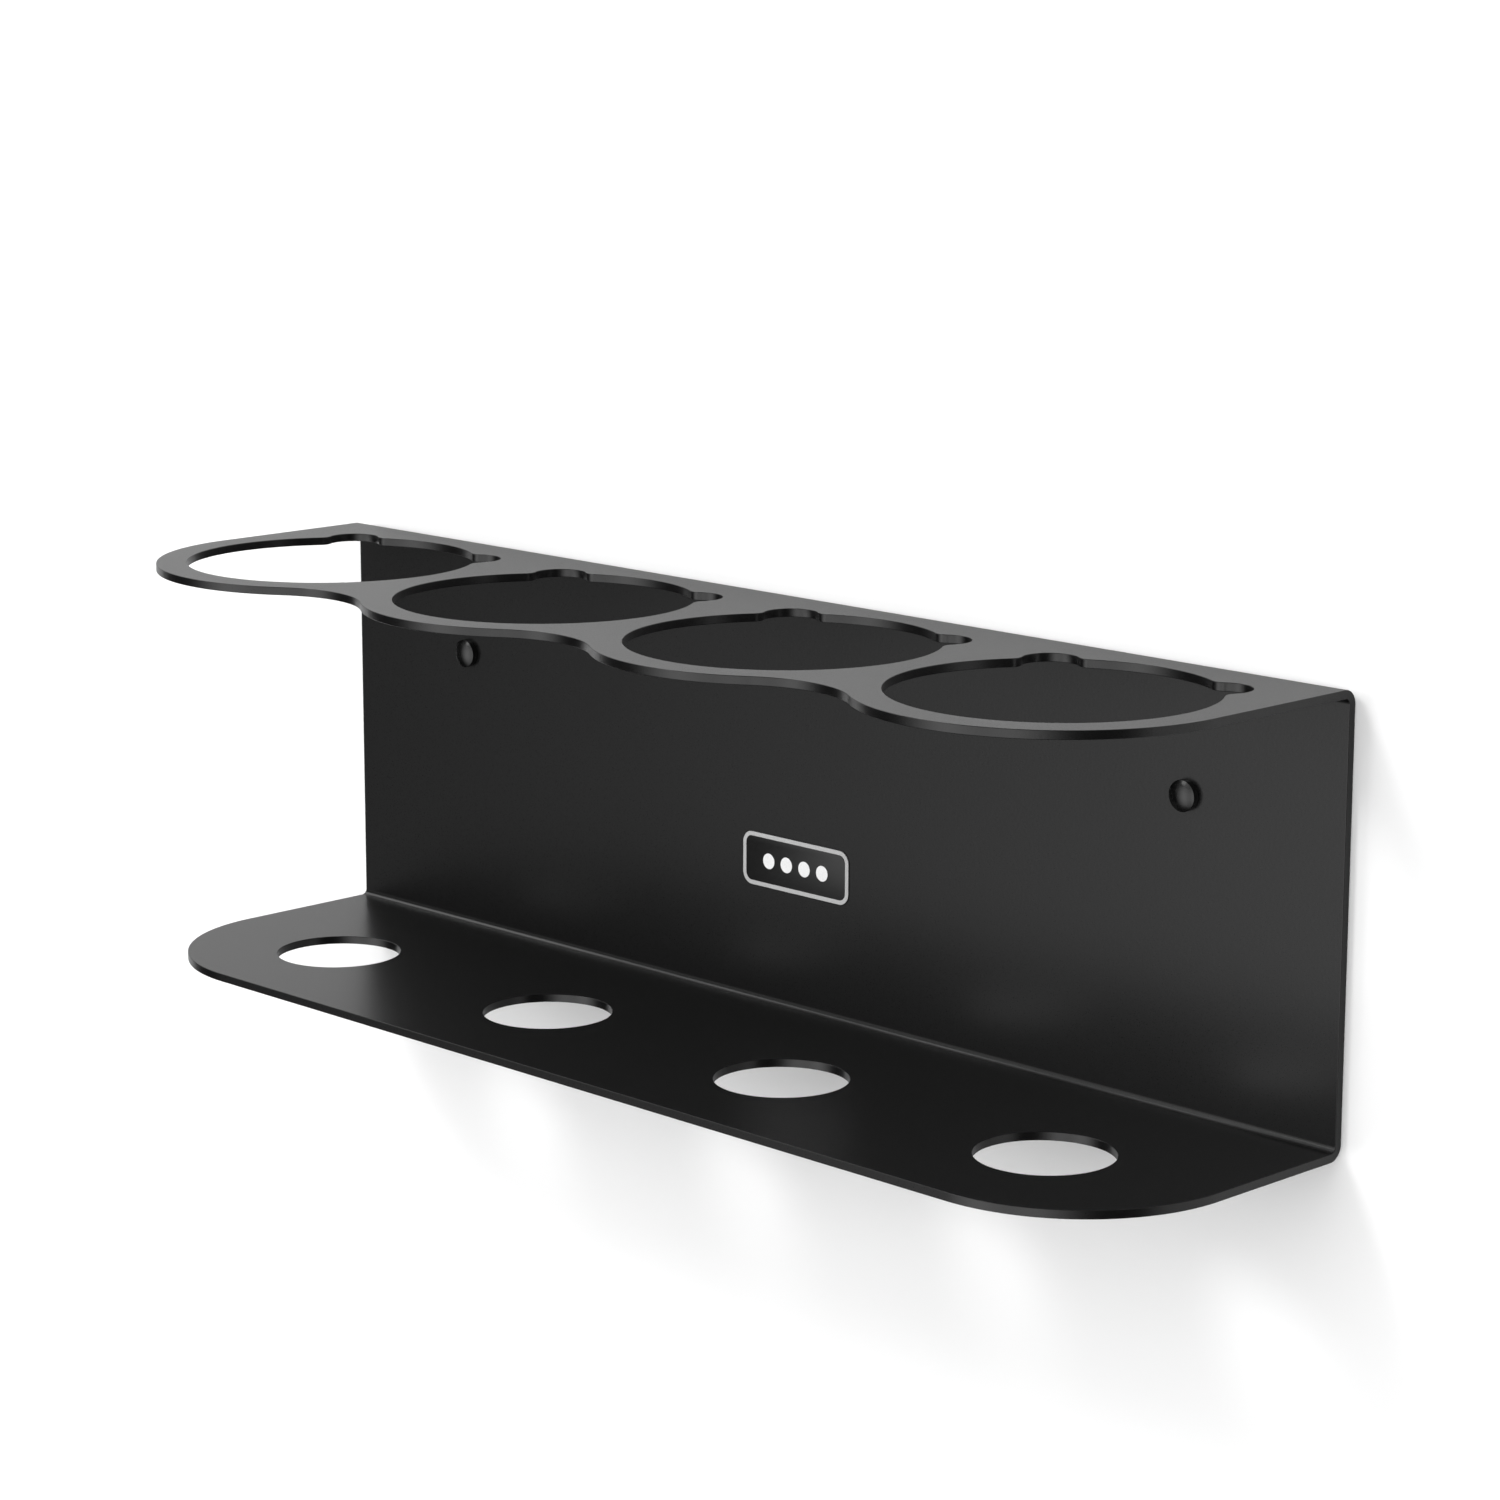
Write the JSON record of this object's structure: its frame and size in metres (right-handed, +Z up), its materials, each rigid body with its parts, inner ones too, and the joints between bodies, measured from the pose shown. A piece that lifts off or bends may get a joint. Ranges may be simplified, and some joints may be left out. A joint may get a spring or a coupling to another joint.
{
  "type": "wall tool rack",
  "caption": "Wall-mounted rack folded from one black steel sheet: lobed round openings in the top shelf carry hair styling tools above round holes in the bottom shelf.",
  "frame": {"origin": "on the rear (wall) face of the back plate, midway between the two wall screws", "axes": "+X to the right as seen by a person facing the wall, -Y out from the wall, +Z up"},
  "size_m": [0.409, 0.1454, 0.1295],
  "materials": {
    "powder_coat": "satin black powder coat, very fine texture",
    "cap_plastic": "glossy black moulded plastic",
    "screw_steel": "bright zinc plate",
    "anchor_nylon": "grey moulded nylon",
    "label_film": null
  },
  "bodies": {
    "root": {"rack_body": "powder_coat", "screw_cap_left": "cap_plastic", "screw_cap_right": "cap_plastic", "wall_screw_left": "screw_steel", "wall_screw_right": "screw_steel", "wall_anchor_left": "anchor_nylon", "wall_anchor_right": "anchor_nylon", "label_plate": "label_film"}
  },
  "joints": []
}
